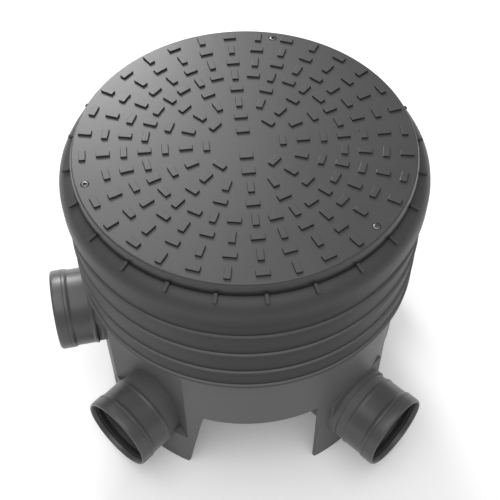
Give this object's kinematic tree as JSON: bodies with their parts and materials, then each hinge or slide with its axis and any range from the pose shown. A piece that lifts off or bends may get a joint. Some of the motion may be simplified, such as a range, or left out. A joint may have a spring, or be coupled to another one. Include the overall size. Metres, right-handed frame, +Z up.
{
  "type": "drain inspection chamber",
  "caption": "Round plastic inspection chamber with a screwed tread cover, ribbed riser and a channelled base with push-fit pipe sockets.",
  "frame": {"origin": "middle of the underside, on the ground", "axes": "+Z up, main channel along X with the outlet at +X"},
  "size_m": [0.64, 0.6, 0.523],
  "materials": {
    "cover_plastic": "satin moulded polypropylene",
    "riser_plastic": "matt moulded polypropylene",
    "base_plastic": "matt moulded polypropylene",
    "socket_plastic": "satin moulded polypropylene",
    "rubber": "matt rubber",
    "screw_steel": "zinc plated",
    "insert_brass": "turned"
  },
  "bodies": {
    "root": {"cover": "cover_plastic", "cover_gasket": "rubber", "cover_screws": "screw_steel", "screw_inserts": "insert_brass", "frame": "cover_plastic", "frame_gasket": "rubber", "riser": "riser_plastic", "riser_seal": "rubber", "base": "base_plastic", "socket_outlet": "socket_plastic", "socket_inlet": "socket_plastic", "socket_left": "socket_plastic", "socket_right": "socket_plastic", "socket_high_left": "socket_plastic", "socket_high_right": "socket_plastic", "seal_outlet": "rubber", "seal_inlet": "rubber", "seal_left": "rubber", "seal_right": "rubber", "seal_high_left": "rubber", "seal_high_right": "rubber", "cap_outlet": "socket_plastic", "cap_inlet": "socket_plastic", "cap_left": "socket_plastic", "cap_right": "socket_plastic", "cap_high_left": "socket_plastic", "cap_high_right": "socket_plastic"}
  },
  "joints": []
}
